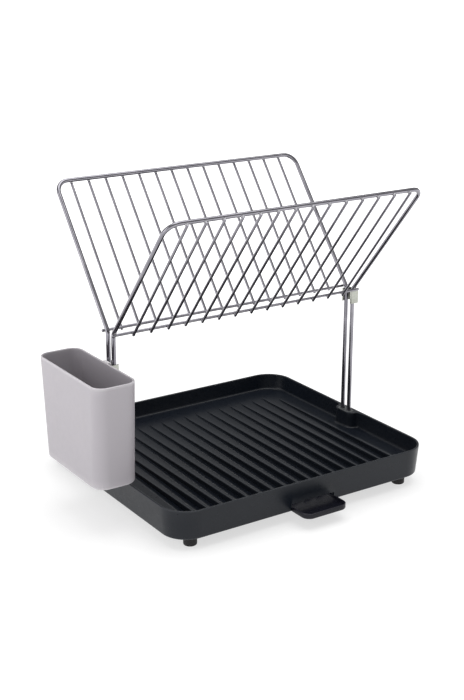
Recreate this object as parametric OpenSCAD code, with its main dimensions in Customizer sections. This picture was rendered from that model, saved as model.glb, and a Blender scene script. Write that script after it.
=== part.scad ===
// Drying rack: a ribbed drain tray with a pull-out spout, a lift-off
// V-shaped wire rack that stands in two sockets, and a cup that hangs on one leg.
// Millimetres. X runs along the tray's front wall, Y to the back, Z up.

/* [Tray] */
// Width of the tray at its rim
tray_w = 346.5; // [330:0.5:380]
// Depth of the tray at its rim
tray_d = 312; // [295:1:340]
// Height of the rim above the surface
rim_z = 47.3; // [45.3:0.1:50.3]
// Height of the tray's lower edge above the surface
skirt_z = 13.3; // [13:0.1:14]
// Corner radius at the rim
corner_r = 32; // [30:1:40]
// How far the walls lean in between the rim and the lower edge
draft = 3; // [2:0.5:4]
// Wall thickness
wall = 2.6; // [2.4:0.1:3]
// Height of the rib crests and of the smooth border round them
crest_z = 27.3; // [26.8:0.1:28.3]
// Number of grooves between the ribs
groove_count = 17; // [13:2:19]
// Width of the ribbed field
field_w = 292; // [280:1:300]
// Depth of a groove at its back end
groove_back = 1.2; // [0.8:0.1:1.5]
// Depth of a groove at its front end
groove_front = 7; // [5:0.1:7.4]

/* [Feet] */
// Distance from the tray's middle to a foot, along X
foot_x = 143.5; // [120:0.5:145]
// Distance from the tray's middle to a foot, along Y
foot_y = 135.5; // [110:0.5:137]
// Diameter of a foot
foot_d = 15; // [12:0.5:16]

/* [Spout] */
// Distance of the spout's middle from the tray's middle
spout_x = 5; // [-20:1:20]
// Width of the spout
spout_w = 58; // [50:1:62]
// How far the spout stands out of the front wall's lower edge
spout_out = 28.5; // [24:0.5:30]
// How far the spout slides in
spout_travel = 20; // [15:1:20]

/* [Rack] */
// Distance of the rack's middle plane behind the tray's middle
rack_y = -9; // [-20:1:10]
// Diameter of the frame wire
frame_d = 5; // [4.5:0.1:5.2]
// Diameter of the plate wires and of the rails
wire_d = 3.2; // [2.6:0.1:3.4]
// Number of plate wires in each wing
wire_count = 14; // [10:1:14]
// Distance between two plate wires
wire_pitch = 22; // [20:0.5:22.5]
// Distance of a leg from the rack's middle, along X
leg_x = 164; // [160:0.5:164.5]
// Distance of a leg wire from the rack's middle plane
leg_y = 6; // [5.5:0.1:6.5]
// Height at which a leg bends into its wing
bend_z = 204.3; // [200:0.1:214]
// Height of the middle of the front wing's top wire
top_front_z = 346.9; // [324:0.1:354]
// Height of the middle of the back wing's top wire
top_back_z = 348.9; // [324:0.1:354]
// Lean of the front wing from the vertical
lean_front = 39.2; // [34:0.1:42]
// Lean of the back wing from the vertical
lean_back = 38.4; // [34:0.1:42]
// Radius of the wings' top corners, at the middle of the wire
wing_r = 15; // [10:1:20]

/* [Clips] */
// Height of a clip
clip_h = 16; // [14:0.5:18]
// Height of the top of the clip that the cup hangs on
clip_left_top = 170.4; // [164:0.1:170.4]
// Height of the top of the clip on the other leg
clip_right_top = 202.6; // [194:0.1:202.6]
// Thickness of a clip's sheet
sheet = 0.9; // [0.8:0.1:1]

/* [Cup] */
// Height of the cup's rim above the surface
cup_top = 172.9; // [172.9:0.1:177]
// Height of the cup's bottom above the surface
cup_bottom = 56.8; // [50:0.1:64]
// Length of the cup's rim, along Y
cup_len = 140; // [120:1:150]
// Length of the cup's bottom, along Y
cup_base_len = 127; // [100:1:134]
// Width of the cup's rim, along X
cup_w = 51; // [40:0.5:55]
// Width of the cup's bottom, along X
cup_base_w = 50.5; // [36:0.5:52]
// Corner radius of the cup's rim
cup_r = 14; // [12:1:20]
// Corner radius of the cup's bottom
cup_base_r = 15; // [12:1:20]
// Wall thickness of the cup
cup_wall = 2.2; // [2:0.1:3]

/* [Hidden] */
eps = 0.05;
fine = 96;
cut_over = 1;

// Tray
base_w = tray_w - 2 * draft;
base_d = tray_d - 2 * draft;
base_r = corner_r - draft;
floor_t = 2;
front_in_y = -tray_d / 2 + wall + draft;
groove_pitch = field_w / groove_count;
field_gap = 1;
field_front = front_in_y + field_gap;
field_back = 122;
field_len = field_back - field_front;
corner_steps = [0, 0, 0, 0, 0, 0, 0, 5, 14, 30];
gutter_y = -138;
groove_over = 1;
groove_lean = 0.4;
gutter_z = crest_z - groove_front;

// Leg bosses and their inserts
boss_in = 15.25;
boss_len = 38;
boss_r = 10;
insert_r = 3.5;
flange_r = 4.5;
insert_len = 23;
insert_w = 11;
insert_step = 2;
insert_flange = 1.2;
insert_depth = 5;
insert_z = crest_z - insert_depth;
leg_sink = 2.5;
bore_clear = 0.5;
leg_end_z = crest_z - leg_sink;
bore_gap = 0.06;
bore_end_z = leg_end_z - bore_clear;
insert_play = 0.1;

// Feet
stem_d = 7;
stem_h = 4;
foot_round = 1.5;
foot_boss_rim = 2;
foot_boss_d = foot_d + 2 * foot_boss_rim;
boss_top = rim_z / 2;

// Spout
spout_z = skirt_z;
spout_wall = 1.8;
spout_lip_h = 6.2;
spout_lip_z = skirt_z + spout_lip_h;
spout_lip_run = 1.5;
spout_ramp = 6;
spout_floor_t = 1.6;
spout_step = 1;
spout_play = 0.5;
spout_r = 10;
spout_front = -base_d / 2 - spout_out;
spout_back = -118;
flange_w = 3;
flange_rise = 1.5;
flange_z = skirt_z + flange_rise;
flange_t = 1.3;
ledge_t = 1.2;
door_h = 9;
door_z = skirt_z + door_h;
well_back = -131;
rail_web = 2;
stop_gap = 1;
rail_back = spout_back + spout_travel + stop_gap;

// Rack
frame_r = frame_d / 2;
wire_r = wire_d / 2;
bend_r = 12;
weld = 0.15;
rail_s = 3.5;
rail_off = frame_r + wire_r - weld;
wire_low_off = rail_off + wire_d - weld;
wire_top_off = frame_r + wire_r - weld;
wire_low_s = 1.5;
wire_over = 1;
rail_over = 2;
rail_half = leg_x + frame_r + rail_over;
join_grow = 0.08;
join_gap = 0.3;

// Clips
clip_in = 4.5;
clip_out = 7;
clip_half_y = leg_y + frame_r + sheet + eps;
clip_mouth = 6.5;
fold_r = 1.6;
clip_cut = 4 * sheet;

// Cup
cup_gap = 0.5;
cup_in_x = leg_x + clip_out + cup_gap;
cup_mid_y = -13.8;
cup_base_mid_y = -16.5;
hook_t = 2;
hook_w = 12;
hook_h = 13;
hook_gap = 0.8;
spacer_z = 70;
spacer_h = 14;
spacer_gap = 0.4;

// The origin is the middle of the footprint of the whole object
x_low = -cup_in_x - cup_w;
x_high = tray_w / 2;
y_low = spout_front;
y_high = tray_d / 2;
shift = [-(x_low + x_high) / 2, -(y_low + y_high) / 2, 0];

wing_names = ["front", "back"];
side_names = ["left", "right"];
wire_numbers = [1 : wire_count];

tray_grey = [0.2, 0.22, 0.24];
steel = [0.78, 0.78, 0.8];
clip_grey = [0.62, 0.64, 0.6];
cup_grey = [0.74, 0.72, 0.74];
insert_grey = [0.35, 0.37, 0.38];

function lean(wing) = wing == "front" ? lean_front : lean_back;
function toward(wing) = wing == "front" ? -1 : 1;
function side_sign(side) = side == "left" ? -1 : 1;
function wing_top(wing) = wing == "front" ? top_front_z : top_back_z;
function wing_len(wing) = (wing_top(wing) - bend_z) / cos(lean(wing));

// A rectangle with round corners, its middle at the origin
module rounded(w, d, r) {
    square([w - 2 * r, d], center = true);
    square([w, d - 2 * r], center = true);
    for (x = [-1, 1], y = [-1, 1])
        translate([x * (w / 2 - r), y * (d / 2 - r)]) circle(r, $fn = fine);
}

module slab(w, d, r, z, h) {
    translate([0, 0, z]) linear_extrude(h) rounded(w, d, r);
}

// A closed body between a small slab below and a large one above
module tapered(low, high, z0, z1) {
    hull() {
        translate([low[0], low[1], z0]) linear_extrude(eps) rounded(low[2], low[3], low[4]);
        translate([high[0], high[1], z1 - eps]) linear_extrude(eps) rounded(high[2], high[3], high[4]);
    }
}

// ---- Tray ----

// The tray's outline at a height, as its middle, width, depth and corner radius
function tray_outline(z, inset) = let (out = draft * (z - skirt_z) / (rim_z - skirt_z) - inset)
    [0, 0, base_w + 2 * out, base_d + 2 * out, base_r + out];

module leg_at(side) {
    translate([side_sign(side) * leg_x, rack_y, 0]) children();
}

module foot_at(wing, side) {
    translate([side_sign(side) * foot_x, toward(wing) * foot_y, 0]) children();
}

// The column against a side wall that a leg socket sits in; it runs out past the wall
module leg_boss(side) {
    translate([side_sign(side) * tray_w / 2, rack_y, 0])
        slab(2 * boss_in, boss_len, boss_r, 0, 2 * rim_z);
}

// A groove's right side is steep and its left side runs up gently; it sinks towards the front
module groove(i) {
    right_x = -field_w / 2 + (i + 1) * groove_pitch;
    back = field_back - corner_steps[abs(i - (groove_count - 1) / 2)];
    slope = atan((groove_front - groove_back) / field_len);
    high = groove_front + groove_over;
    translate([right_x, back, crest_z - groove_back - (field_back - back) * tan(slope)])
        rotate([90 + slope, 0, 0]) linear_extrude(field_len)
            polygon([[0, 0], [groove_lean, high], [-high * groove_pitch / groove_front, high]]);
}

// Everything between the walls, measured at their lower edge
module inside_walls() {
    slab(base_w - 2 * wall, base_d - 2 * wall, base_r - wall, 0, rim_z);
}

// The room under the floor, open below
module underside() {
    high_front = gutter_z - floor_t;
    high_back = crest_z - groove_back - floor_t;
    intersection() {
        inside_walls();
        rotate([90, 0, 90]) linear_extrude(tray_w, center = true)
            polygon([[-tray_d, 0], [tray_d, 0], [tray_d, high_back], [field_back, high_back],
                [gutter_y, high_front], [-tray_d, high_front]]);
    }
}

// What stands in the room under the floor: foot bosses, leg bosses and the spout's housing
module underside_bosses() {
    for (wing = wing_names, side = side_names)
        foot_at(wing, side) cylinder(h = boss_top, d = foot_boss_d);
    for (side = side_names) leg_boss(side);
    housing_w = spout_w + 2 * (flange_w + spout_play + rail_web);
    housing_len = rail_back + rail_web + base_d / 2;
    translate([spout_x - housing_w / 2, -base_d / 2, 0]) cube([housing_w, housing_len, boss_top]);
}

// The slideway that the spout moves in, with the door in the front wall
module spout_way() {
    slot_w = spout_w + 2 * spout_play;
    run = rail_back + tray_d / 2 + cut_over;
    translate([spout_x - slot_w / 2, -tray_d / 2 - cut_over, 0]) cube([slot_w, run, gutter_z - floor_t]);
    wide = slot_w + 2 * flange_w;
    translate([spout_x - wide / 2, front_in_y, skirt_z + ledge_t])
        cube([wide, rail_back - front_in_y, flange_t + 2 * spout_play]);
    translate([spout_x - slot_w / 2, -tray_d / 2 - cut_over, 0])
        cube([slot_w, well_back + tray_d / 2 + cut_over, door_z]);
}

module socket_pocket(side) {
    leg_at(side) slab(insert_w - insert_step + insert_play, insert_len - insert_step + insert_play,
        insert_r, insert_z, rim_z);
    leg_at(side) slab(insert_w + insert_play, insert_len + insert_play, flange_r,
        rim_z - insert_flange, rim_z);
}

module drain_tray() {
    color(tray_grey) difference() {
        tapered(tray_outline(skirt_z, 0), tray_outline(rim_z, 0), skirt_z, rim_z);
        difference() {
            tapered(tray_outline(crest_z, wall), tray_outline(rim_z, wall), crest_z, rim_z + eps);
            for (side = side_names) leg_boss(side);
        }
        intersection() {
            inside_walls();
            union() {
                for (i = [0 : groove_count - 1]) groove(i);
                translate([-field_w / 2, -tray_d / 2, gutter_z])
                    cube([field_w, gutter_y + tray_d / 2, crest_z + eps - gutter_z]);
            }
        }
        difference() {
            underside();
            underside_bosses();
        }
        spout_way();
        for (side = side_names) socket_pocket(side);
        for (wing = wing_names, side = side_names)
            foot_at(wing, side) cylinder(h = skirt_z + stem_h, d = stem_d);
    }
}

// ---- Feet ----

module foot(wing, side) {
    color("black") foot_at(wing, side) {
        rotate_extrude($fn = fine) {
            square([foot_d / 2 - foot_round, skirt_z]);
            translate([0, foot_round]) square([foot_d / 2, skirt_z - foot_round]);
            translate([foot_d / 2 - foot_round, foot_round]) circle(foot_round);
        }
        translate([0, 0, skirt_z]) cylinder(h = stem_h, d = stem_d);
    }
}

// ---- Leg sockets ----

module leg_socket(side) {
    color(insert_grey) difference() {
        leg_at(side) {
            slab(insert_w - insert_step, insert_len - insert_step, insert_r, insert_z,
                rim_z - insert_flange - insert_z);
            slab(insert_w, insert_len, flange_r, rim_z - insert_flange, insert_flange);
        }
        leg_at(side) for (y = [-leg_y, leg_y])
            translate([0, y, bore_end_z]) cylinder(h = rim_z, r = frame_r + bore_gap);
    }
}

// ---- Spout ----

module spout_plan(grow) {
    w = spout_w + 2 * grow;
    front = spout_front - grow;
    translate([spout_x - w / 2, front + spout_r]) square([w, spout_back - front - spout_r]);
    translate([spout_x - w / 2 + spout_r, front]) square([w - 2 * spout_r, 2 * spout_r]);
    for (s = [-1, 1])
        translate([spout_x + s * (w / 2 - spout_r), front + spout_r]) circle(spout_r, $fn = fine);
}

module drain_spout() {
    lip_end = -base_d / 2 - spout_play;
    inner_z = gutter_z - floor_t - spout_play;
    well_z = spout_z + spout_floor_t;
    well_end = spout_back - spout_wall;
    color("black") difference() {
        union() {
            intersection() {
                translate([0, 0, spout_z]) linear_extrude(spout_lip_z - spout_z) spout_plan(0);
                rotate([90, 0, 90]) linear_extrude(tray_w, center = true)
                    polygon([[spout_front, 0], [spout_back, 0], [spout_back, inner_z], [lip_end, inner_z],
                        [lip_end - spout_lip_run, spout_lip_z], [spout_front, spout_lip_z]]);
            }
            translate([spout_x - spout_w / 2 - flange_w, front_in_y + spout_play, flange_z])
                cube([spout_w + 2 * flange_w, spout_back - front_in_y - spout_play, flange_t]);
        }
        intersection() {
            translate([0, 0, spout_z]) linear_extrude(spout_lip_z) spout_plan(-spout_wall);
            rotate([90, 0, 90]) linear_extrude(tray_w, center = true)
                polygon([[spout_front, well_z], [lip_end - spout_ramp, well_z],
                    [well_end, inner_z - spout_step], [well_end, rim_z], [spout_front, rim_z]]);
        }
    }
}

// ---- Rack ----

// The frame of a wing: Z runs up the wing from the bend, and Y is across it
module in_wing(wing) {
    translate([0, rack_y + toward(wing) * leg_y, bend_z])
        rotate([-toward(wing) * lean(wing), 0, 0]) children();
}

// A ball a hair thicker than the wire closes the join between a straight and a bend
module join() {
    sphere(r = frame_r + join_grow, $fn = fine);
}

module straight(h) {
    translate([0, 0, join_gap]) cylinder(h = h - 2 * join_gap, r = frame_r);
}

module bend(angle, r) {
    rotate_extrude(angle = angle, $fn = fine) translate([r, 0]) circle(frame_r);
}

// One bent wire: leg, bend, wing side, top corner, and the same again on the other side
module rack_frame(wing) {
    bend_len = bend_r * tan(lean(wing) / 2);
    long = wing_len(wing);
    color(steel) for (side = side_names) {
        s = side_sign(side);
        translate([s * leg_x, rack_y + toward(wing) * leg_y, leg_end_z]) {
            cylinder(h = bend_z - bend_len - leg_end_z - join_gap, r = frame_r);
            translate([0, 0, bend_z - bend_len - leg_end_z]) join();
            translate([0, toward(wing) * bend_r, bend_z - bend_len - leg_end_z])
                rotate([90, 0, -90 * toward(wing)]) bend(lean(wing), bend_r);
        }
        in_wing(wing) {
            translate([s * leg_x, 0, bend_len]) join();
            translate([s * leg_x, 0, bend_len]) straight(long - wing_r - bend_len);
            translate([s * leg_x, 0, long - wing_r]) join();
            translate([s * (leg_x - wing_r), 0, long - wing_r])
                rotate([90, 45 * s - 45, 0]) bend(90, wing_r);
            translate([s * (leg_x - wing_r), 0, long]) join();
        }
    }
    color(steel) in_wing(wing) translate([-leg_x + wing_r, 0, long]) rotate([0, 90, 0])
        straight(2 * (leg_x - wing_r));
}

// The straight rail across the foot of a wing, welded to the outside of its frame
module rack_rail(wing) {
    color(steel) in_wing(wing) translate([-rail_half, toward(wing) * rail_off, rail_s]) rotate([0, 90, 0])
        cylinder(h = 2 * rail_half, r = wire_r);
}

// A plate wire, welded outside the rail and outside the frame's top wire
module plate_wire(wing, i) {
    rise = wing_len(wing) + wire_over - wire_low_s;
    tilt = atan((wire_low_off - wire_top_off) / rise);
    color(steel) in_wing(wing)
        translate([(i - (wire_count + 1) / 2) * wire_pitch, toward(wing) * wire_low_off, wire_low_s])
            rotate([toward(wing) * tilt, 0, 0]) cylinder(h = rise / cos(tilt), r = wire_r);
}

// ---- Clips ----

// A folded sheet round both wires of a leg; its outer web leaves a pocket for the cup's hook
module leg_clip(side, top) {
    s = side_sign(side);
    mid = (clip_out - clip_in) / 2;
    clip_w = clip_in + clip_out;
    color(clip_grey) leg_at(side) translate([s * mid, 0, top - clip_h]) linear_extrude(clip_h)
        difference() {
            rounded(clip_w, 2 * clip_half_y, fold_r);
            rounded(clip_w - 2 * sheet, 2 * (clip_half_y - sheet), fold_r - sheet);
            translate([-s * clip_w / 2, 0]) square([clip_cut, 2 * clip_mouth], center = true);
        }
}

// ---- Cup ----

module cutlery_cup() {
    top = [-cup_in_x - cup_w / 2, cup_mid_y, cup_w, cup_len, cup_r];
    base = [-cup_in_x - cup_base_w / 2, cup_base_mid_y, cup_base_w, cup_base_len, cup_base_r];
    thin = [0, 0, -2 * cup_wall, -2 * cup_wall, -cup_wall];
    hook_x = -leg_x - frame_r - hook_gap;
    color(cup_grey) {
        difference() {
            tapered(base, top, cup_bottom, cup_top);
            tapered(base + thin, top + thin, cup_bottom + cup_wall, cup_top + eps);
        }
        translate([hook_x - hook_t, rack_y - hook_w / 2, cup_top - hook_t - hook_h])
            cube([hook_t, hook_w, hook_h + hook_t]);
        translate([-cup_in_x - cup_wall / 2, rack_y - hook_w / 2, cup_top - hook_t])
            cube([cup_in_x + cup_wall / 2 + hook_x, hook_w, hook_t]);
        translate([-cup_in_x - cup_wall / 2, rack_y - hook_w / 2, spacer_z])
            cube([cup_in_x + cup_wall / 2 - leg_x - frame_r - spacer_gap, hook_w, spacer_h]);
    }
}

module placed() {
    translate(shift) children();
}

placed() drain_tray();
for (wing = wing_names, side = side_names)
    placed() foot(wing, side);
for (side = side_names)
    placed() leg_socket(side);
placed() drain_spout();
for (wing = wing_names)
    placed() rack_frame(wing);
for (wing = wing_names)
    placed() rack_rail(wing);
for (wing = wing_names, i = wire_numbers)
    placed() plate_wire(wing, i);
placed() leg_clip("left", clip_left_top);  // leg_clip_left
placed() leg_clip("right", clip_right_top);  // leg_clip_right
placed() cutlery_cup();
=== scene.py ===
import math

import bmesh
import bpy
from mathutils import Matrix, Vector


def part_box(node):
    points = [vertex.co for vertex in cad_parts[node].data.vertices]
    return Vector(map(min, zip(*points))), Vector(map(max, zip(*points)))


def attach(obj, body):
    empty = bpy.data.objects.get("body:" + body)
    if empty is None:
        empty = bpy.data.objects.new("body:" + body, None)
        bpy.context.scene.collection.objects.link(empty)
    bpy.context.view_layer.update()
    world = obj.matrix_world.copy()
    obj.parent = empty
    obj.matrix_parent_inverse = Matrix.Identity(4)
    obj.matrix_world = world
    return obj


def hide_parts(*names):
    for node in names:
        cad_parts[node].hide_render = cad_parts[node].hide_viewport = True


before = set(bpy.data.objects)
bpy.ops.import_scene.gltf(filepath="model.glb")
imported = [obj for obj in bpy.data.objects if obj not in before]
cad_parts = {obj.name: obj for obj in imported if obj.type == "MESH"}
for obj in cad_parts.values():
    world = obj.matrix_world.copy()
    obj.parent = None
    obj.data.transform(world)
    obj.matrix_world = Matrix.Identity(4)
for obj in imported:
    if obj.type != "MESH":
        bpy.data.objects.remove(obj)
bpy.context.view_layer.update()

MM = 0.001

# ---- Driving dimensions, in millimetres, shared with the CAD model ----

RIM_Z = 47.3
SKIRT_Z = 13.3
CORNER_R = 32.0
DRAFT = 3.0
WALL = 2.6
CREST_Z = 27.3
GROOVES = 17
FIELD_W = 292.0
FIELD_BACK = 122.0
GROOVE_BACK = 1.2
GROOVE_FRONT = 7.0
GUTTER_Y = -138.0
FLOOR_T = 2.0
BOSS_IN = 15.25
FRAME_R = 2.5
WIRE_R = 1.6
WIRES = 14
WIRE_PITCH = 22.0
LEG_X = 164.0
LEG_Y = 6.0
LEG_END_Z = 24.8
BEND_Z = 204.3
BEND_R = 12.0
TOP_Z = {"front": 346.9, "back": 348.9}
WING_R = 15.0
LEAN = {"front": math.radians(39.2), "back": math.radians(38.4)}
TOWARD = {"front": -1, "back": 1}
SIDE = {"left": -1, "right": 1}
WELD = 0.15

# ---- Places, in millimetres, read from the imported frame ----


def box_mm(node):
    low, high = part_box(node)
    return low / MM, high / MM


def middle(node):
    low, high = box_mm(node)
    return (low + high) / 2


TRAY_LOW, TRAY_HIGH = box_mm("drain_tray")
TRAY_W = TRAY_HIGH.x - TRAY_LOW.x
TRAY_D = TRAY_HIGH.y - TRAY_LOW.y
MID_X = middle("drain_tray").x
MID_Y = middle("drain_tray").y
RACK_Y = middle("leg_clip_right").y


# ---- Mesh building ----


def add_object(name, mesh, material):
    obj = bpy.data.objects.new(name, mesh)
    bpy.context.scene.collection.objects.link(obj)
    mesh.materials.clear()
    mesh.materials.append(material)
    return obj


def piece(name, material, verts, faces, sharp_deg=35):
    """A new object made of points in millimetres, in one of the MATERIALS."""
    return add_object(name, mesh_from(name, verts, faces, sharp_deg), MATERIALS[material])


def shade(mesh, sharp_deg):
    """Smooth shading with hard edges only where two faces meet at more than sharp_deg."""
    bm = bmesh.new()
    bm.from_mesh(mesh)
    limit = math.radians(sharp_deg)
    for face in bm.faces:
        face.smooth = True
    for edge in bm.edges:
        edge.smooth = len(edge.link_faces) == 2 and edge.calc_face_angle(math.pi) < limit
    bm.to_mesh(mesh)
    bm.free()


def mesh_from(name, verts, faces, sharp_deg=35, weld_mm=0.002):
    """A closed, outward-facing mesh from points in millimetres."""
    mesh = bpy.data.meshes.new(name)
    mesh.from_pydata([Vector(v) * MM for v in verts], [], faces)
    bm = bmesh.new()
    bm.from_mesh(mesh)
    bmesh.ops.remove_doubles(bm, verts=bm.verts, dist=weld_mm * MM)
    bmesh.ops.dissolve_degenerate(bm, edges=bm.edges, dist=weld_mm * MM / 2)
    bmesh.ops.recalc_face_normals(bm, faces=bm.faces)
    bm.to_mesh(mesh)
    bm.free()
    shade(mesh, sharp_deg)
    return mesh


def bridge(count, low, high):
    """Quads between two rings of count points that start at low and at high."""
    return [(low + i, low + (i + 1) % count, high + (i + 1) % count, high + i) for i in range(count)]


def loft(rings, cap_first=True, cap_last=True):
    """Joins closed rings of the same number of points."""
    count = len(rings[0])
    verts = [p for ring in rings for p in ring]
    faces = []
    for k in range(len(rings) - 1):
        faces += bridge(count, k * count, (k + 1) * count)
    if cap_first:
        faces.append(tuple(reversed(range(count))))
    if cap_last:
        faces.append(tuple(range((len(rings) - 1) * count, len(rings) * count)))
    return verts, faces


def round_rect(w, d, r, cx, cy, z, steps=12):
    """A ring: a rectangle with round corners, seen from above."""
    ring = []
    for turn, (sx, sy) in enumerate(((1, 1), (-1, 1), (-1, -1), (1, -1))):
        for k in range(steps + 1):
            a = math.pi / 2 * (turn + k / steps)
            ring.append((cx + sx * (w / 2 - r) + r * math.cos(a), cy + sy * (d / 2 - r) + r * math.sin(a), z))
    return ring


def lathe(profile, sides=48):
    """Turns a profile of (radius, height) pairs about Z; it starts and ends on the axis."""
    rings = [[(r * math.cos(2 * math.pi * k / sides), r * math.sin(2 * math.pi * k / sides), z)
              for k in range(sides)] for r, z in profile]
    return loft(rings)


def moved(part, spot):
    """Points and faces moved across the plan to a spot."""
    verts, faces = part
    return [(x + spot.x, y + spot.y, z) for x, y, z in verts], faces


def tube(path, radius, sides=24, end_round=0.5):
    """A round wire along a list of points, with its two ends rounded over by a quarter circle."""
    points = [Vector(p) for p in path]
    start_dir = (points[1] - points[0]).normalized()
    end_dir = (points[-1] - points[-2]).normalized()
    rounding = []
    for k in range(5):
        a = math.pi / 2 * k / 4
        rounding.append((end_round * (1 - math.cos(a)), radius - end_round * (1 - math.sin(a))))
    stations = [(points[0] + start_dir * inset, start_dir, r) for inset, r in rounding]
    for i in range(1, len(points) - 1):
        ahead = (points[i + 1] - points[i]).normalized()
        behind = (points[i] - points[i - 1]).normalized()
        stations.append((points[i], (ahead + behind).normalized(), radius))
    stations += [(points[-1] - end_dir * inset, end_dir, r) for inset, r in reversed(rounding)]
    side = start_dir.orthogonal().normalized()
    rings = []
    for centre, direction, r in stations:
        side = (side - direction * side.dot(direction)).normalized()
        other = direction.cross(side)
        ring = []
        for k in range(sides):
            turn = 2 * math.pi * k / sides
            ring.append(centre + (side * math.cos(turn) + other * math.sin(turn)) * r)
        rings.append(ring)
    return loft(rings)


def arc(centre, start, end, count):
    """Points from start to end on the arc about centre, both ends included."""
    a = Vector(start) - Vector(centre)
    b = Vector(end) - Vector(centre)
    whole = a.angle(b)
    axis = a.cross(b).normalized()
    return [Vector(centre) + Matrix.Rotation(whole * k / count, 3, axis) @ a for k in range(count + 1)]


def join(parts):
    """Several (verts, faces) pairs as one."""
    verts = []
    faces = []
    for v, f in parts:
        base = len(verts)
        verts += list(v)
        faces += [tuple(base + i for i in face) for face in f]
    return verts, faces


def apply_modifiers(obj):
    graph = bpy.context.evaluated_depsgraph_get()
    done = bpy.data.meshes.new_from_object(obj.evaluated_get(graph))
    old = obj.data
    obj.modifiers.clear()
    obj.data = done
    bpy.data.meshes.remove(old)
    return obj


def cut(obj, operation, other_mesh):
    """One exact boolean, applied at once."""
    tool = bpy.data.objects.new("tool", other_mesh)
    bpy.context.scene.collection.objects.link(tool)
    modifier = obj.modifiers.new("cut", "BOOLEAN")
    modifier.operation = operation
    modifier.solver = "EXACT"
    modifier.object = tool
    apply_modifiers(obj)
    bpy.data.objects.remove(tool)
    bpy.data.meshes.remove(other_mesh)
    return obj


def block(low, high, r=0.0):
    """A box between two corners, with its upright edges rounded."""
    w = high[0] - low[0]
    d = high[1] - low[1]
    cx = (high[0] + low[0]) / 2
    cy = (high[1] + low[1]) / 2
    r = max(r, 0.01)
    return loft([round_rect(w, d, r, cx, cy, low[2], 4), round_rect(w, d, r, cx, cy, high[2], 4)])


def softened(node, name, width, material, angle=40):
    """A copy of a CAD node with its flat faces cleaned up and its edges broken."""
    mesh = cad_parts[node].data.copy()
    obj = add_object(name, mesh, material)
    bm = bmesh.new()
    bm.from_mesh(mesh)
    bmesh.ops.remove_doubles(bm, verts=bm.verts, dist=0.001 * MM)
    bmesh.ops.dissolve_limit(bm, angle_limit=math.radians(0.5), verts=bm.verts, edges=bm.edges)
    bm.to_mesh(mesh)
    bm.free()
    bevel = obj.modifiers.new("edge", "BEVEL")
    bevel.width = width * MM
    bevel.segments = 3
    bevel.limit_method = "ANGLE"
    bevel.angle_limit = math.radians(angle)
    bevel.miter_outer = "MITER_ARC"
    bevel.use_clamp_overlap = True
    apply_modifiers(obj)
    shade(obj.data, 50)
    return obj


def settle(obj, body, slot, *nodes):
    """Rides on its body and stands for its CAD nodes; slot is not used."""
    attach(obj, body)
    if nodes:
        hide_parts(*nodes)
    return obj


# ---- Materials ----


class Shader:
    """A node tree round one Principled shader."""

    def __init__(self, name, color, roughness, metallic=0.0):
        self.material = bpy.data.materials.new(name)
        self.material.use_nodes = True
        self.tree = self.material.node_tree
        self.shader = self.tree.nodes["Principled BSDF"]
        self.shader.inputs["Base Color"].default_value = (*color, 1)
        self.shader.inputs["Roughness"].default_value = roughness
        self.shader.inputs["Metallic"].default_value = metallic
        self.coords = self.tree.nodes.new("ShaderNodeTexCoord")

    def constant(self, socket, value):
        self.shader.inputs[socket].default_value = value

    def link(self, a, b):
        self.tree.links.new(a, b)

    def noise(self, scale, detail=2.0, stretch=(1, 1, 1), rough=0.5):
        place = self.tree.nodes.new("ShaderNodeMapping")
        place.inputs["Scale"].default_value = stretch
        self.link(self.coords.outputs["Object"], place.inputs["Vector"])
        node = self.tree.nodes.new("ShaderNodeTexNoise")
        node.inputs["Scale"].default_value = scale
        node.inputs["Detail"].default_value = detail
        node.inputs["Roughness"].default_value = rough
        self.link(place.outputs["Vector"], node.inputs["Vector"])
        return node.outputs["Fac"]

    def remap(self, value, low, high, to_low, to_high):
        node = self.tree.nodes.new("ShaderNodeMapRange")
        for socket, number in zip(("From Min", "From Max", "To Min", "To Max"), (low, high, to_low, to_high)):
            node.inputs[socket].default_value = number
        self.link(value, node.inputs["Value"])
        return node.outputs["Result"]

    def blend(self, value, a, b):
        node = self.tree.nodes.new("ShaderNodeMix")
        node.data_type = "RGBA"
        node.inputs["A"].default_value = (*a, 1) if len(a) == 3 else a
        node.inputs["B"].default_value = (*b, 1) if len(b) == 3 else b
        self.link(value, node.inputs["Factor"])
        return node.outputs["Result"]

    def over(self, value, under, b):
        """Puts colour b over a linked colour by value."""
        node = self.tree.nodes.new("ShaderNodeMix")
        node.data_type = "RGBA"
        self.link(under, node.inputs["A"])
        node.inputs["B"].default_value = (*b, 1)
        self.link(value, node.inputs["Factor"])
        return node.outputs["Result"]

    def edges(self, low, high):
        """0 on flats and 1 on outer edges; the materials paint highlights along edges with it."""
        node = self.tree.nodes.new("ShaderNodeNewGeometry")
        return self.remap(node.outputs["Pointiness"], low, high, 0, 1)

    def bump(self, height, strength, distance, under=None):
        node = self.tree.nodes.new("ShaderNodeBump")
        node.inputs["Strength"].default_value = strength
        node.inputs["Distance"].default_value = distance
        self.link(height, node.inputs["Height"])
        if under is not None:
            self.link(under, node.inputs["Normal"])
        return node.outputs["Normal"]

    def done(self, color=None, roughness=None, normal=None):
        for value, socket in ((color, "Base Color"), (roughness, "Roughness"), (normal, "Normal")):
            if value is not None:
                self.link(value, self.shader.inputs[socket])
        return self.material


def tray_plastic():
    s = Shader("tray_plastic", (0.01, 0.0125, 0.016), 0.36)
    s.constant("Specular IOR Level", 0.3)
    cloud = s.noise(18, 3)
    color = s.blend(s.remap(cloud, 0.3, 0.7, 0, 1), (0.0042, 0.0064, 0.011), (0.006, 0.0084, 0.0135))
    # painted highlight: a lighter grey along the rim, the crests of the ribs and other outer edges
    color = s.over(s.edges(0.51, 0.6), color, (0.075, 0.08, 0.09))
    grain = s.noise(2600, 2)
    rough = s.remap(s.noise(240, 4), 0.3, 0.7, 0.27, 0.36)
    return s.done(color, rough, s.bump(grain, 0.3, 0.00005))


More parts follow.
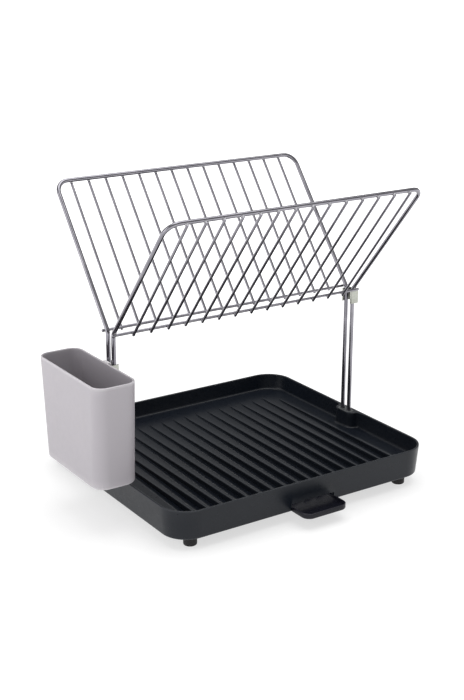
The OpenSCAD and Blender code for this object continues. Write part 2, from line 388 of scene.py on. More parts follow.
def spout_plastic():
    s = Shader("spout_plastic", (0.01, 0.01, 0.015), 0.3)
    s.constant("Specular IOR Level", 0.25)
    color = s.blend(s.noise(30, 3), (0.005, 0.0052, 0.0095), (0.0075, 0.008, 0.014))
    # painted highlight: a lighter colour along the spout's lip and outer edges
    color = s.over(s.edges(0.53, 0.62), color, (0.085, 0.08, 0.1))
    rough = s.remap(s.noise(200, 4), 0.3, 0.7, 0.24, 0.38)
    return s.done(color, rough, s.bump(s.noise(1500, 2), 0.2, 0.00004))


def socket_plastic():
    s = Shader("socket_plastic", (0.07, 0.074, 0.076), 0.45)
    color = s.blend(s.noise(60, 3), (0.06, 0.064, 0.067), (0.085, 0.09, 0.092))
    rough = s.remap(s.noise(400, 3), 0.3, 0.7, 0.36, 0.5)
    return s.done(color, rough, s.bump(s.noise(2400, 2), 0.25, 0.00004))


def foot_rubber():
    s = Shader("foot_rubber", (0.01, 0.009, 0.01), 0.7)
    color = s.blend(s.noise(150, 4), (0.006, 0.0055, 0.006), (0.014, 0.0125, 0.0135))
    rough = s.remap(s.noise(500, 3), 0.3, 0.7, 0.6, 0.8)
    return s.done(color, rough, s.bump(s.noise(1400, 3), 0.5, 0.0001))


def cup_plastic():
    s = Shader("cup_plastic", (0.4, 0.38, 0.41), 0.42)
    s.constant("Subsurface Weight", 0.04)
    s.constant("Subsurface Radius", (0.004, 0.003, 0.003))
    cloud = s.noise(9, 3)
    color = s.blend(s.remap(cloud, 0.3, 0.7, 0, 1), (0.395, 0.372, 0.4), (0.412, 0.388, 0.417))
    # painted highlight: a near-white line along the cup's rim and outer edges
    color = s.over(s.edges(0.51, 0.57), color, (0.8, 0.78, 0.8))
    rough = s.remap(s.noise(160, 4), 0.3, 0.7, 0.36, 0.48)
    return s.done(color, rough, s.bump(s.noise(1800, 2), 0.2, 0.00004))


def wire_chrome():
    s = Shader("wire_chrome", (0.27, 0.26, 0.29), 0.12, 1.0)
    haze = s.noise(60, 4)
    color = s.blend(s.remap(haze, 0.3, 0.75, 0, 1), (0.22, 0.215, 0.24), (0.3, 0.29, 0.32))
    rough = s.remap(s.noise(420, 5), 0.3, 0.7, 0.08, 0.18)
    return s.done(color, rough, s.bump(s.noise(900, 3), 0.12, 0.00003))


def clip_metal():
    s = Shader("clip_metal", (0.38, 0.39, 0.36), 0.35, 1.0)
    s.constant("Anisotropic", 0.4)
    brushed = s.noise(120, 4, (1, 1, 14))
    color = s.blend(s.remap(brushed, 0.3, 0.7, 0, 1), (0.34, 0.35, 0.31), (0.45, 0.46, 0.42))
    rough = s.remap(brushed, 0.3, 0.7, 0.28, 0.42)
    return s.done(color, rough, s.bump(brushed, 0.25, 0.00004))


def weld_metal():
    s = Shader("weld_metal", (0.5, 0.5, 0.51), 0.25, 1.0)
    color = s.blend(s.noise(700, 4), (0.38, 0.38, 0.39), (0.6, 0.6, 0.61))
    rough = s.remap(s.noise(900, 4), 0.3, 0.7, 0.16, 0.36)
    return s.done(color, rough, s.bump(s.noise(1600, 3), 0.5, 0.00008))


MAKERS = (tray_plastic, spout_plastic, socket_plastic, foot_rubber,
          cup_plastic, wire_chrome, clip_metal, weld_metal)
MATERIALS = {make.__name__: make() for make in MAKERS}


# ---- Tray ----

FILLET = 2.6
EDGE_R = 0.85
BOTTOM_R = 1.4
CREST_LAND = 1.0
LEG_MOUND_FLAT = 8.0
LEG_MOUND_R = 9.0
LEG_MOUND_FOOT_R = 3.5
LEG_MOUND_TURN = math.radians(75)
BASE_W = TRAY_W - 2 * DRAFT
BASE_D = TRAY_D - 2 * DRAFT
BASE_R = CORNER_R - DRAFT


def lean_out(z):
    """How far the outer wall at height z stands out past its lower edge."""
    return DRAFT * (z - SKIRT_Z) / (RIM_Z - SKIRT_Z)


def mound(depth):
    """One half of a leg mound's outline, as (inward, along) pairs, from its nose to the wall."""
    turn = LEG_MOUND_TURN
    nose = LEG_MOUND_R
    foot = LEG_MOUND_FOOT_R
    straight = (depth - (nose + foot) * (1 - math.cos(turn))) / math.sin(turn)
    points = [(depth, LEG_MOUND_FLAT * k / 3) for k in range(3)]
    steps = 7
    for k in range(steps + 1):
        a = turn * k / steps
        points.append((depth - nose * (1 - math.cos(a)), LEG_MOUND_FLAT + nose * math.sin(a)))
    inward, along = points[-1]
    start_in = inward - straight * math.sin(turn)
    start_along = along + straight * math.cos(turn)
    for k in range(steps + 1):
        a = turn * (1 - k / steps)
        points.append((start_in - foot * (math.cos(a) - math.cos(turn)),
                       start_along + foot * (math.sin(turn) - math.sin(a))))
    return points


def side_outline():
    """The right wall's inner face at crest height, front to back.

    Each station is (x, y, inward), where inward is the depth of the leg's mound there."""
    grow = lean_out(CREST_Z) - WALL
    half_w = BASE_W / 2 + grow
    half_d = BASE_D / 2 + grow
    r = BASE_R + grow
    xc = half_w - r
    yc = half_d - r
    steps = 12
    stations = []
    for k in range(steps + 1):
        a = -math.pi / 2 + math.pi / 2 * k / steps
        stations.append((xc + r * math.cos(a), -yc + r * math.sin(a), 0.0))
    mid = RACK_Y - MID_Y
    half = mound(BOSS_IN - (TRAY_W / 2 - half_w))
    low_end = mid - half[-1][1]
    high_end = mid + half[-1][1]
    for k in range(1, 8):
        stations.append((half_w, -yc + (low_end + yc) * k / 8, 0.0))
    for inward, along in reversed(half):
        stations.append((half_w - inward, mid - along, inward))
    for inward, along in half[1:]:
        stations.append((half_w - inward, mid + along, inward))
    for k in range(1, 8):
        stations.append((half_w, high_end + (yc - high_end) * k / 8, 0.0))
    for k in range(steps + 1):
        a = math.pi / 2 * k / steps
        stations.append((xc + r * math.cos(a), yc + r * math.sin(a), 0.0))
    return stations


def normals_of(stations):
    """Outward normals of the outline; the two ends face along Y."""
    found = []
    last = len(stations) - 1
    for i in range(len(stations)):
        if i in (0, last):
            found.append(Vector((0.0, -1.0 if i == 0 else 1.0)))
            continue
        along = Vector(stations[i + 1][:2]) - Vector(stations[i - 1][:2])
        found.append(Vector((along.y, -along.x)).normalized())
    return found


LATE_START = {7: 5.0, 8: 14.0}
GROOVE_FADE = 6.0
GROOVE_SLOPE = (GROOVE_FRONT - GROOVE_BACK) / (FIELD_BACK - GUTTER_Y)


def groove_depth(index, y):
    """Depth of a groove at y; the outer grooves start later, along the round corners."""
    start = FIELD_BACK - LATE_START.get(abs(index - (GROOVES - 1) // 2), 0.0)
    fade = min(1.0, max(0.0, (start - y) / GROOVE_FADE))
    return (GROOVE_BACK + (FIELD_BACK - max(y, GUTTER_Y)) * GROOVE_SLOPE) * fade


# A groove's gentle side as shares of its run and depth, then its steep side as
# distances back from its right end and shares of depth
GENTLE_SIDE = ((0.0, 0.0), (0.04, 0.012), (0.12, 0.085), (0.35, 0.34),
               (0.6, 0.62), (0.85, 0.9), (0.94, 0.985), (1.0, 1.0))
STEEP_SIDE = ((0.6, 0.93), (0.48, 0.5), (0.4, 0.14), (0.25, 0.02), (0.02, 0.0))
GROOVE_FOOT = 0.75
GROOVE_MIN = 1.1


def columns(y):
    """Places across the floor, left to right, as (x, drop below the crests)."""
    pitch = FIELD_W / GROOVES
    left = -FIELD_W / 2
    in_gutter = min(1.0, max(0.0, (GUTTER_Y + 1 - y) / 2.0))
    gutter = GROOVE_FRONT * in_gutter
    found = [(left - 4, 0.0), (left - 0.35, 0.0), (left - 0.1, min(gutter, 0.12)), (left, gutter * 0.5),
             (left + 0.15, gutter)]
    for i in range(GROOVES):
        right = left + (i + 1) * pitch
        depth = groove_depth(i, y)
        width = GROOVE_MIN + depth / GROOVE_FRONT * (pitch - CREST_LAND - GROOVE_MIN)
        land = right - width
        found.append((land - (0.35 if width > 3 else 0.2), 0.0))
        for t, share in GENTLE_SIDE:
            found.append((land + (right - GROOVE_FOOT - land) * t, depth * share))
        for back_off, share in STEEP_SIDE:
            found.append((right - back_off, depth * share))
    last = len(found) - 1
    found.append((FIELD_W / 2 + 4, 0.0))
    done = []
    for k, (x, drop) in enumerate(found):
        inside = 4 <= k < last - 2
        done.append((x, max(drop, gutter) if inside else drop))
    # the right side of the gutter follows the last groove's steep side
    for k, share in zip(range(last - 4, last + 1), (1.0, 0.93, 0.5, 0.1, 0.0)):
        done[k] = (done[k][0], max(found[k][1], gutter * share))
    return done


def tray_surface():
    """The whole skin of the tray but for its bored holes: floor, walls, rim, skirt and underside."""
    stations = side_outline()
    normals = normals_of(stations)
    rows = [Vector(s[:2]) - n * FILLET for s, n in zip(stations, normals)]
    verts = []
    grid = []
    for row in rows:
        line = []
        for x, drop in columns(row.y):
            clamped = max(-row.x, min(row.x, x))
            line.append(len(verts))
            verts.append((clamped, row.y, CREST_Z - drop))
        grid.append([len(verts)] + line + [len(verts) + 1])
        verts.append((-row.x, row.y, CREST_Z))
        verts.append((row.x, row.y, CREST_Z))
    count = len(grid[0])
    # on the front rows the gutter reaches the wall
    for line in (grid[0], grid[1]):
        for side in (0, -1):
            neighbour = verts[line[1 if side == 0 else -2]]
            verts[line[side]] = (verts[line[side]][0], verts[line[side]][1], neighbour[2])
    faces = []
    for a, b in zip(grid, grid[1:]):
        for k in range(count - 1):
            faces.append((a[k], a[k + 1], b[k + 1], b[k]))

    # the boundary of the floor, anticlockwise from the front left
    loop = []
    for k in range(count):
        loop.append((grid[0][k], Vector((0, -1)), None))
    for j in range(1, len(grid) - 1):
        loop.append((grid[j][-1], normals[j], (j, 1)))
    for k in reversed(range(count)):
        loop.append((grid[-1][k], Vector((0, 1)), None))
    for j in reversed(range(1, len(grid) - 1)):
        loop.append((grid[j][0], Vector((-normals[j].x, normals[j].y)), (j, -1)))

    grow = lean_out(CREST_Z) - WALL

    def wall_point(entry, offset, mounded):
        """A point on the wall's plan, offset out from the inner face at crest height."""
        index, normal, station = entry
        if station is None:
            return Vector(verts[index][:2]) + normal * (FILLET + offset)
        j, side = station
        x, y, inward = stations[j]
        if inward and mounded:
            return Vector((side * x, y))
        if inward:
            return Vector((side * (x + inward + offset), y))
        return Vector((side * x, y)) + normal * offset

    rings = []

    def ring(make):
        base = len(verts)
        for entry in loop:
            verts.append(make(entry))
        rings.append(base)

    def at(z, inset=0.0, mounded=True):
        """A ring at height z, on the inner face (mounded) or the outer one; inset moves it into the wall."""
        def make(entry):
            if mounded:
                offset = lean_out(z) - lean_out(CREST_Z) + inset
                p = wall_point(entry, offset, True)
                if entry[2] is not None and stations[entry[2][0]][2]:
                    p = p + entry[1] * inset
            else:
                p = wall_point(entry, lean_out(z) - grow - inset, False)
            return (p.x, p.y, z)
        ring(make)

    # floor fillet
    for k in range(1, 6):
        a = math.pi / 2 * k / 5
        def make(entry, a=a):
            base = verts[entry[0]]
            out = FILLET * math.sin(a)
            up = FILLET * (1 - math.cos(a))
            return (base[0] + entry[1].x * out, base[1] + entry[1].y * out, base[2] + up)
        ring(make)
    # inner wall, rim, outer wall and lower edge
    at(RIM_Z - EDGE_R - 6)
    at(RIM_Z - EDGE_R * 1.6)
    for k in range(0, 5):
        a = math.pi / 2 * k / 4
        at(RIM_Z - EDGE_R * (1 - math.sin(a)), inset=EDGE_R * (1 - math.cos(a)))
    for k in range(0, 5):
        a = math.pi / 2 * (1 - k / 4)
        at(RIM_Z - EDGE_R * (1 - math.sin(a)), inset=EDGE_R * (1 - math.cos(a)), mounded=False)
    at(RIM_Z - EDGE_R * 1.6, mounded=False)
    at((RIM_Z + SKIRT_Z) / 2, mounded=False)
    at(SKIRT_Z + BOTTOM_R * 1.6, mounded=False)
    for k in range(0, 5):
        a = math.pi / 2 * k / 4
        at(SKIRT_Z + BOTTOM_R * (1 - math.sin(a)), inset=BOTTOM_R * (1 - math.cos(a)), mounded=False)
    # the skirt's inner side and the underside of the floor
    skirt_in = WALL - 0.2
    at(SKIRT_Z, inset=skirt_in, mounded=False)

    def under(entry):
        """The corner between the skirt's inner side and the floor's underside."""
        station = entry[2]
        p = wall_point(entry, lean_out(SKIRT_Z) - grow - WALL, False)
        if station is not None and stations[station[0]][2]:
            j, side = station
            p = Vector((side * (stations[j][0] - 1.0), stations[j][1]))
        run = FIELD_BACK - max(GUTTER_Y, min(FIELD_BACK, p.y))
        return (p.x, p.y, CREST_Z - FLOOR_T - GROOVE_BACK - run * GROOVE_SLOPE)

    def under_low(entry):
        p = under(entry)
        return (p[0], p[1], SKIRT_Z)

    ring(under_low)
    ring(under)
    size = len(loop)
    first = [entry[0] for entry in loop]
    for i in range(size):
        after = (i + 1) % size
        faces.append((first[i], first[after], rings[0] + after, rings[0] + i))
    for low, high in zip(rings, rings[1:]):
        faces += bridge(size, low, high)

    # the underside: strips right across, front to back
    last = rings[-1]
    right = [last + count + j for j in range(len(grid) - 2)]
    left = [last + size - 1 - j for j in range(len(grid) - 2)]
    front = [last + k for k in range(count)]
    back = [last + count + len(grid) - 2 + k for k in range(count)]
    faces.append(tuple(front + [right[0], left[0]]))
    for j in range(len(right) - 1):
        faces.append((left[j], right[j], right[j + 1], left[j + 1]))
    faces.append(tuple([left[-1], right[-1]] + back))
    placed = [(x + MID_X, y + MID_Y, z) for x, y, z in verts]
    return placed, faces


SPOUT_LOW, SPOUT_HIGH = box_mm("drain_spout")
SPOUT_X = middle("drain_spout").x
SPOUT_FLANGE = 3.0
SPOUT_W = SPOUT_HIGH.x - SPOUT_LOW.x - 2 * SPOUT_FLANGE
PLAY = 0.5
DOOR_Z = SKIRT_Z + 9.0
FLANGE_Z = SKIRT_Z + 1.5
WELL_BACK = -131.0
LEDGE_T = 1.2
FLANGE_T = 1.3
TRAVEL = 20.0
STEM_D = 7.0
STEM_H = 4.0
GUTTER_FLOOR = CREST_Z - GROOVE_FRONT
BOSS_R = 9.5
BELOW_FLOOR = 0.5
SEAT = 0.02
SOCKET_FLANGE = 1.2


def tray_additions():
    """What stands under the floor: four foot bosses and the spout's housing."""
    parts = []
    boss_top = {"front": GUTTER_FLOOR - BELOW_FLOOR, "back": CREST_Z - FLOOR_T}
    for wing in TOWARD:
        for side in SIDE:
            spot = middle(f"foot_{wing}_{side}")
            parts.append(moved(lathe([(BOSS_R, SKIRT_Z + SEAT), (BOSS_R, boss_top[wing])], 40), spot))
    half = SPOUT_W / 2 + PLAY + SPOUT_FLANGE + 2.0
    housing_back = SPOUT_HIGH.y + TRAVEL + 3.0
    low = (SPOUT_X - half, MID_Y - BASE_D / 2 + 1.5, SKIRT_Z + SEAT)
    parts.append(block(low, (SPOUT_X + half, housing_back, GUTTER_FLOOR - BELOW_FLOOR), 2.0))
    return join(parts)


def tray_cuts():
    """The spout's slideway and door, the socket pockets and the holes for the feet's stems."""
    slot = SPOUT_W / 2 + PLAY
    front = TRAY_LOW.y - 4
    back = SPOUT_HIGH.y + TRAVEL + 1.0
    inner = MID_Y - BASE_D / 2 + WALL
    wide = slot + SPOUT_FLANGE
    ledge = SKIRT_Z + LEDGE_T
    narrow = slot - 0.01
    parts = [block((SPOUT_X - slot, front, 0), (SPOUT_X + slot, back, GUTTER_FLOOR - FLOOR_T), 0.6),
             block((SPOUT_X - wide, inner, ledge),
                   (SPOUT_X + wide, back - 0.01, ledge + FLANGE_T + 2 * PLAY), 0.6),
             block((SPOUT_X - narrow, front + 0.5, 1),
                   (SPOUT_X + narrow, MID_Y + WELL_BACK, DOOR_Z), 1.5)]
    for side in SIDE:
        spot = middle(f"leg_socket_{side}")
        low, high = box_mm(f"leg_socket_{side}")
        w = high.x - low.x + 0.1
        d = high.y - low.y + 0.1
        step_z = RIM_Z - SOCKET_FLANGE
        parts.append(loft([round_rect(w - 2, d - 2, 3.5, spot.x, spot.y, low.z, 6),
                           round_rect(w - 2, d - 2, 3.5, spot.x, spot.y, step_z, 6),
                           round_rect(w, d, 4.5, spot.x, spot.y, step_z, 6),
                           round_rect(w, d, 4.5, spot.x, spot.y, RIM_Z + 2, 6)]))
    for wing in TOWARD:
        for side in SIDE:
            spot = middle(f"foot_{wing}_{side}")
            hole = lathe([(STEM_D / 2, SKIRT_Z - 2), (STEM_D / 2, SKIRT_Z + STEM_H)], 32)
            parts.append(moved(hole, spot))
    return parts


def build_tray():
    tray = piece("ribbed_drain_tray", "tray_plastic", *tray_surface())
    cut(tray, "UNION", mesh_from("additions", *tray_additions()))
    for part in tray_cuts():
        cut(tray, "DIFFERENCE", mesh_from("cutter", *part))
    tray.data.materials.clear()
    tray.data.materials.append(MATERIALS["tray_plastic"])
    for polygon in tray.data.polygons:
        polygon.material_index = 0
    shade(tray.data, 32)
    settle(tray, "tray", "tray_plastic", "drain_tray")


def build_feet():
    for wing in TOWARD:
        for side in SIDE:
            node = f"foot_{wing}_{side}"
            low, high = box_mm(node)
            spot = (low + high) / 2
            r = (high.x - low.x) / 2
            rounding = 1.6
            profile = [(0.0, 0.5), (r - 4.2, 0.5), (r - 3.8, 0.35), (r - 3.5, 0.0), (r - rounding, 0.0)]
            profile += [(r - rounding + rounding * math.sin(math.pi / 2 * k / 6),
                         rounding * (1 - math.cos(math.pi / 2 * k / 6))) for k in range(1, 7)]
            stem = STEM_D / 2 - 0.1
            profile += [(r, SKIRT_Z - 0.5), (r - 0.15, SKIRT_Z - 0.15), (r - 0.5, SKIRT_Z),
                        (stem, SKIRT_Z), (stem, high.z - 0.5), (stem - 0.5, high.z), (0.0, high.z)]
            foot = piece(f"rubber_{node}", "foot_rubber", *moved(lathe(profile), spot))
            settle(foot, "tray", "foot_rubber", node)


def build_sockets():
    for side in SIDE:
        node = f"leg_socket_{side}"
        piece = softened(node, f"{node}_insert", 0.3, MATERIALS["socket_plastic"])
        settle(piece, "tray", "socket_plastic", node)


# ---- Spout ----


RAMP_FRONT = 14.0
RAMP_LEN = 30.0


def build_spout():
    """A shallow scoop: rings run from its underside up the outside, over the lip and down to the trough."""
    lip_z = SPOUT_HIGH.z
    low_z = GUTTER_FLOOR - FLOOR_T - PLAY
    wall_y = MID_Y - BASE_D / 2
    basin_z = SKIRT_Z + 1.7
    plan_r = 10.0
    steps = 10

    def outline(inset, height):
        """The plan, drawn in by inset, with a height for each point."""
        half = SPOUT_W / 2 - inset
        front = SPOUT_LOW.y + inset
        back = SPOUT_HIGH.y - inset
        r = plan_r - min(inset, plan_r - 2)
        points = []
        along = [back - (back - front - r) * k / 14 for k in range(15)]
        points += [(-half, y) for y in along[:-1]]
        turns = [math.pi / 2 * k / steps for k in range(steps + 1)]
        points += [(-half + r - r * math.cos(a), front + r - r * math.sin(a)) for a in turns]
        points += [(-half + r + (2 * half - 2 * r) * k / 8, front) for k in range(1, 8)]
        points += [(half - r + r * math.sin(a), front + r - r * math.cos(a)) for a in turns]
        points += [(half, y) for y in reversed(along[:-1])]
        points += [(half - 2 * half * k / 6, back) for k in range(1, 6)]
        return [(SPOUT_X + x, y, height(y)) for x, y in points]

    def lip(y):
        """The lip is high outside the tray and dips to pass under the tray's floor."""
        t = min(1.0, max(0.0, (wall_y - 0.6 - y) / 2.0))
        return low_z + (lip_z - low_z) * t * t * (3 - 2 * t)

    def trough(y):
        """The trough falls towards the front."""
        t = min(1.0, max(0.0, (y - (wall_y - RAMP_FRONT)) / RAMP_LEN))
        return basin_z + (low_z - 1.0 - basin_z) * t * t * (3 - 2 * t)

    def level(z):
        return lambda y: z

    def below_lip(drop):
        return lambda y: lip(y) - drop

    def inner_side(a):
        return lambda y: trough(y) + max(0.0, lip(y) - 1.0 - trough(y)) * (1 - math.sin(a))

    rings = []
    for inset, up in ((1.6, 0.0), (0.7, 0.12), (0.15, 0.7), (0.0, 1.4)):
        rings.append(outline(inset, level(SKIRT_Z + up)))
    for inset, drop in ((0.0, 0.8), (0.12, 0.3), (0.5, 0.0), (1.1, 0.0), (1.5, 0.25), (1.75, 0.8)):
        rings.append(outline(inset, below_lip(drop)))
    for k in range(1, 6):
        a = math.pi / 2 * k / 5
        rings.append(outline(2.0 + 2.2 * (1 - math.cos(a)), inner_side(a)))
    for inset in (7.0, 10.0, 16.0, 24.0):
        rings.append(outline(inset, trough))
    flange_low = (SPOUT_LOW.x, wall_y + WALL + PLAY, FLANGE_Z)
    flange_high = (SPOUT_X - SPOUT_W / 2 + 0.5, SPOUT_HIGH.y, FLANGE_Z + FLANGE_T)
    left = block(flange_low, flange_high, 0.4)
    right = ([(2 * SPOUT_X - x, y, z) for x, y, z in left[0]], [tuple(reversed(f)) for f in left[1]])
    spout = piece("pull_out_spout", "spout_plastic", *loft(rings))
    for part in (left, right):
        cut(spout, "UNION", mesh_from("flange", *part))
    shade(spout.data, 40)
    settle(spout, "spout", "spout_plastic", "drain_spout")


# ---- Wire rack ----


def wing_matrix(wing):
    """X stays across; Z runs up the wing from the bend and Y is across the wing."""
    turn = Matrix.Rotation(-TOWARD[wing] * LEAN[wing], 4, "X")
    return Matrix.Translation((MID_X, RACK_Y + TOWARD[wing] * LEG_Y, BEND_Z)) @ turn


def wing_length(wing):
    return (TOP_Z[wing] - BEND_Z) / math.cos(LEAN[wing])


RAIL_OFF = FRAME_R + WIRE_R - WELD
RAIL_S = 3.5
LOW_OFF = RAIL_OFF + 2 * WIRE_R - WELD
TOP_OFF = FRAME_R + WIRE_R - WELD
LOW_S = 1.5
OVER = 1.0


def frame_path(wing):
    """The bent wire's middle line, from the left foot over the wing to the right foot."""
    place = wing_matrix(wing)
    toward = TOWARD[wing]
    long = wing_length(wing)
    bend = BEND_R * math.tan(LEAN[wing] / 2)
    leg_y = RACK_Y + toward * LEG_Y
    path = []
    for sign in (-1, 1):
        x = MID_X + sign * LEG_X
        half = [Vector((x, leg_y, z)) for z in (LEG_END_Z, LEG_END_Z + 2, 60, 100, 140, 180)]
        start = Vector((x, leg_y, BEND_Z - bend))
        end = place @ Vector((sign * LEG_X, 0, bend))
        half += arc((x, leg_y + toward * BEND_R, BEND_Z - bend), start, end, 10)
        rise = long - WING_R - bend
        half += [place @ Vector((sign * LEG_X, 0, bend + rise * k / 6)) for k in range(1, 6)]
        corner = place @ Vector((sign * (LEG_X - WING_R), 0, long - WING_R))
        half += arc(corner, place @ Vector((sign * LEG_X, 0, long - WING_R)),
                    place @ Vector((sign * (LEG_X - WING_R), 0, long)), 14)
        if sign < 0:
            path = half
            path += [place @ Vector(((LEG_X - WING_R) * t, 0, long)) for t in (-0.6, -0.2, 0.2, 0.6)]
        else:
            path += list(reversed(half))
    return path


def bead(place, at, size, seed):
    """A small lumpy weld bead, flattened on the wire."""
    verts, faces = lathe([(math.sin(math.pi * k / 8), -math.cos(math.pi * k / 8)) for k in range(9)], 14)
    out = []
    for x, y, z in verts:
        wobble = 1 + 0.1 * math.sin(5 * x + 3 * y + seed * 1.7) * math.cos(4 * z + seed)
        out.append(place @ (Vector(at) + Vector((x * size[0], y * size[1], z * size[2])) * wobble))
    return out, faces


def build_rack():
    for wing, toward in TOWARD.items():
        place = wing_matrix(wing)
        long = wing_length(wing)
        name = f"{wing}_bent_frame"
        body = piece(name, "wire_chrome", *tube(frame_path(wing), FRAME_R, 36, 0.8))
        settle(body, "rack", "wire_chrome", f"{wing}_frame")

        low, high = box_mm(f"{wing}_rail")
        half = (high.x - low.x) / 2
        shares = (-1, -0.9, -0.5, 0, 0.5, 0.9, 1)
        line = [place @ Vector((half * t, toward * RAIL_OFF, RAIL_S)) for t in shares]
        name = f"{wing}_cross_rail"
        rail = piece(name, "wire_chrome", *tube(line, WIRE_R, 24, 0.5))
        settle(rail, "rack", "wire_chrome", f"{wing}_rail")

        beads = []
        for side in (-1, 1):
            at = (side * LEG_X, toward * (FRAME_R + 0.1), RAIL_S)
            beads.append(bead(place, at, (2.3, 1.0, 1.9), side))
        for i in range(1, WIRES + 1):
            x = (i - (WIRES + 1) / 2) * WIRE_PITCH
            foot = Vector((x, toward * LOW_OFF, LOW_S))
            head = Vector((x, toward * TOP_OFF, long + OVER))
            line = [place @ foot.lerp(head, t) for t in (0, 0.02, 0.25, 0.5, 0.75, 0.98, 1)]
            name = f"{wing}_plate_wire_{i}"
            wire = piece(name, "wire_chrome", *tube(line, WIRE_R, 24, 0.6))
            settle(wire, "rack", "wire_chrome", f"{wing}_wire_{i}")
            on_frame = (x, toward * (FRAME_R + 0.05), long - 0.3)
            on_rail = (x, toward * (RAIL_OFF + WIRE_R - 0.05), RAIL_S)
            beads.append(bead(place, on_frame, (1.9, 0.8, 2.2), i))
            beads.append(bead(place, on_rail, (1.8, 0.7, 1.7), i + 40))
        name = f"{wing}_weld_beads"
        welds = piece(name, "weld_metal", *join(beads), sharp_deg=80)
        settle(welds, "rack", "wire_chrome")


def build_clips():
    for side in SIDE:
        node = f"leg_clip_{side}"
        clip = softened(node, f"{node}_sheet", 0.22, MATERIALS["clip_metal"])
        settle(clip, "rack", "clip_metal", node)


# ---- Cup ----

CUP_WALL = 2.2
CUP_BASE_LEN = 127.0
CUP_BASE_W = 50.5
CUP_BASE_R = 15.0
CUP_LEN = 140.0
CUP_W = 51.0
CUP_R = 14.0
CUP_SKEW = 2.7
HOOK_T = 2.0
HOOK_W = 12.0
HOOK_H = 13.0
HOOK_GAP = 0.8
SPACER_Z = (70.0, 84.0)
SPACER_GAP = 0.4


def build_cup():
    low, high = box_mm("cutlery_cup")
    back_x = low.x + CUP_W
    mid_y = (low.y + high.y) / 2
    height = high.z - low.z

    def ring(z, inset):
        t = (z - low.z) / height
        w = CUP_BASE_W + (CUP_W - CUP_BASE_W) * t
        d = CUP_BASE_LEN + (CUP_LEN - CUP_BASE_LEN) * t
        r = CUP_BASE_R + (CUP_R - CUP_BASE_R) * t
        y = mid_y - CUP_SKEW * (1 - t)
        return round_rect(w - 2 * inset, d - 2 * inset, max(1.5, r - inset), back_x - w / 2, y, z, 14)

    rings = []
    foot_r = 3.5
    for inset in (16, 11):
        rings.append(ring(low.z, inset))
    for k in range(0, 7):
        a = math.pi / 2 * k / 6
        rings.append(ring(low.z + foot_r * (1 - math.cos(a)), foot_r * (1 - math.sin(a))))
    for t in (0.1, 0.3, 0.5, 0.7, 0.9, 0.97):
        rings.append(ring(low.z + height * t, 0))
    lip = CUP_WALL / 2
    for k in range(0, 9):
        a = math.pi * k / 8
        rings.append(ring(high.z - lip * 0.8 + lip * 0.8 * math.sin(a), lip * (1 - math.cos(a))))
    for t in (0.97, 0.9, 0.7, 0.5, 0.3, 0.12):
        rings.append(ring(low.z + height * t, CUP_WALL))
    floor_z = low.z + CUP_WALL
    inner_r = 5.0
    for k in range(0, 7):
        a = math.pi / 2 * k / 6
        rings.append(ring(floor_z + inner_r * (1 - math.sin(a)), CUP_WALL + inner_r * (1 - math.cos(a))))
    rings.append(ring(floor_z, 12))
    rings.append(ring(floor_z, 16))
    cup = piece("hanging_cup", "cup_plastic", *loft(rings))

    hook_x = MID_X - LEG_X - FRAME_R - HOOK_GAP
    wall_x = back_x - CUP_WALL / 2
    y0 = RACK_Y - HOOK_W / 2
    y1 = RACK_Y + HOOK_W / 2
    tip_z = high.z - HOOK_T - HOOK_H
    profile = [(wall_x, high.z - HOOK_T), (wall_x, high.z - 0.3), (hook_x - 0.8, high.z - 0.3),
               (hook_x - 0.2, high.z - 0.5), (hook_x, high.z - 1.1), (hook_x, tip_z + 0.8),
               (hook_x - 0.5, tip_z), (hook_x - HOOK_T + 0.5, tip_z),
               (hook_x - HOOK_T, tip_z + 0.8), (hook_x - HOOK_T, high.z - HOOK_T)]
    cut(cup, "UNION", mesh_from("hook", *loft([[(x, y, z) for x, z in profile] for y in (y0, y1)])))
    spacer_x = MID_X - LEG_X - FRAME_R - SPACER_GAP
    z0, z1 = SPACER_Z
    profile = [(wall_x, z0 - 3), (wall_x, z1 + 3), (spacer_x - 0.4, z1),
               (spacer_x, z1 - 0.6), (spacer_x, z0 + 0.6), (spacer_x - 0.4, z0)]
    cut(cup, "UNION", mesh_from("spacer", *loft([[(x, y, z) for x, z in profile] for y in (y0, y1)])))
    cup.data.materials.clear()
    cup.data.materials.append(MATERIALS["cup_plastic"])
    shade(cup.data, 35)
    settle(cup, "cup", "cup_plastic", "cutlery_cup")


# ---- Stage, light and camera ----


def build_stage():
    """A wide pale floor that glows, less under the object than away from it, so shadows stay light."""
    size = 40.0
    corners = [(x * size, y * size, 0) for x, y in ((-1, -1), (1, -1), (1, 1), (-1, 1))]
    mesh = bpy.data.meshes.new("floor")
    mesh.from_pydata(corners, [], [(0, 1, 2, 3)])
    s = Shader("floor_white", (0.42, 0.42, 0.42), 0.9)
    s.constant("Specular IOR Level", 0.1)
    length = s.tree.nodes.new("ShaderNodeVectorMath")
    length.operation = "LENGTH"
    s.link(s.coords.outputs["Object"], length.inputs[0])
    s.constant("Emission Color", (1, 1, 1, 1))
    s.link(s.remap(length.outputs["Value"], 0.2, 1.2, 0.64, 1.3), s.shader.inputs["Emission Strength"])
    floor = add_object("floor", mesh, s.done(s.blend(s.noise(3, 2), (0.42, 0.42, 0.42), (0.43, 0.43, 0.43))))


def area(name, place, target, size, power):
    lamp = bpy.data.lights.new(name, "AREA")
    lamp.shape = "RECTANGLE"
    lamp.size, lamp.size_y = size
    lamp.energy = power
    obj = bpy.data.objects.new(name, lamp)
    bpy.context.scene.collection.objects.link(obj)
    obj.location = place
    obj.rotation_mode = "QUATERNION"
    obj.rotation_quaternion = (Vector(target) - Vector(place)).to_track_quat("-Z", "Y")
    return obj


SKY = ((0.0, 1.0), (0.12, 0.95), (0.24, 0.04), (0.33, 0.03), (0.48, 0.5), (1.0, 0.6))


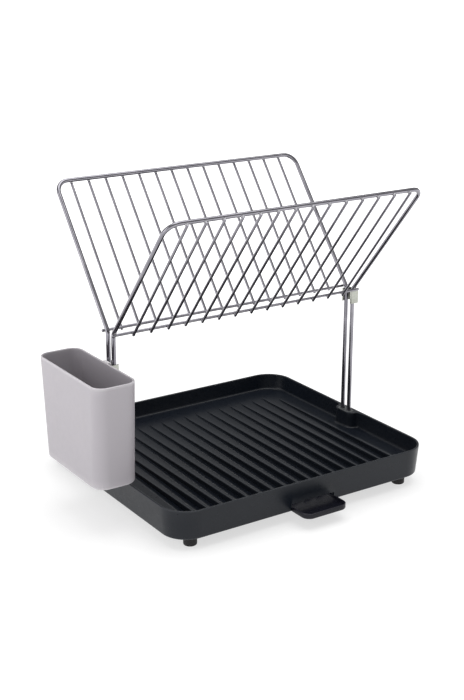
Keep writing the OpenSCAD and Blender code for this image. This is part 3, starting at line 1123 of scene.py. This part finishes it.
def build_light():
    """A room that is dark at mid height, for contrast on chrome and plastic, and two soft boxes."""
    world = bpy.data.worlds.new("studio")
    bpy.context.scene.world = world
    world.use_nodes = True
    tree = world.node_tree
    coords = tree.nodes.new("ShaderNodeTexCoord")
    split = tree.nodes.new("ShaderNodeSeparateXYZ")
    ramp = tree.nodes.new("ShaderNodeValToRGB")
    tree.links.new(coords.outputs["Generated"], split.inputs["Vector"])
    tree.links.new(split.outputs["Z"], ramp.inputs["Fac"])
    while len(ramp.color_ramp.elements) < len(SKY):
        ramp.color_ramp.elements.new(0.5)
    for element, (height, value) in zip(ramp.color_ramp.elements, SKY):
        element.position = height
        element.color = (value, value, value, 1)
    background = tree.nodes["Background"]
    tree.links.new(ramp.outputs["Color"], background.inputs["Color"])
    background.inputs["Strength"].default_value = 1.0
    centre = (0, 0, 0.12)
    area("key", (-2.0, 0.2, 0.9), centre, (1.5, 1.5), 13)
    area("top", (0.2, 0.1, 2.3), centre, (2.2, 2.2), 34)


CAMERA_AZIMUTH = math.radians(-33.66)
CAMERA_ELEVATION = math.radians(18.57)
CAMERA_ROLL = math.radians(0.16)
CAMERA_DISTANCE = 1515.5
CAMERA_LENS = 67.08
AIM_Z = 152.4


def build_camera():
    data = bpy.data.cameras.new("camera")
    data.sensor_width = 36
    data.lens = CAMERA_LENS
    data.clip_end = 100
    cam = bpy.data.objects.new("camera", data)
    bpy.context.scene.collection.objects.link(cam)
    a = CAMERA_AZIMUTH
    e = CAMERA_ELEVATION
    back = Vector((math.sin(a) * math.cos(e), -math.cos(a) * math.cos(e), math.sin(e)))
    aim = Vector((MID_X - 0.7, MID_Y, AIM_Z))
    cam.location = (aim + back * CAMERA_DISTANCE) * MM
    cam.rotation_mode = "QUATERNION"
    look = (-back).to_track_quat("-Z", "Y").to_matrix()
    cam.rotation_quaternion = (look @ Matrix.Rotation(CAMERA_ROLL, 3, "Z")).to_quaternion()
    bpy.context.scene.camera = cam


bpy.context.scene.view_settings.view_transform = "Standard"
build_camera()
build_light()
build_stage()
build_tray()
build_feet()
build_sockets()
build_spout()
build_rack()
build_clips()
build_cup()
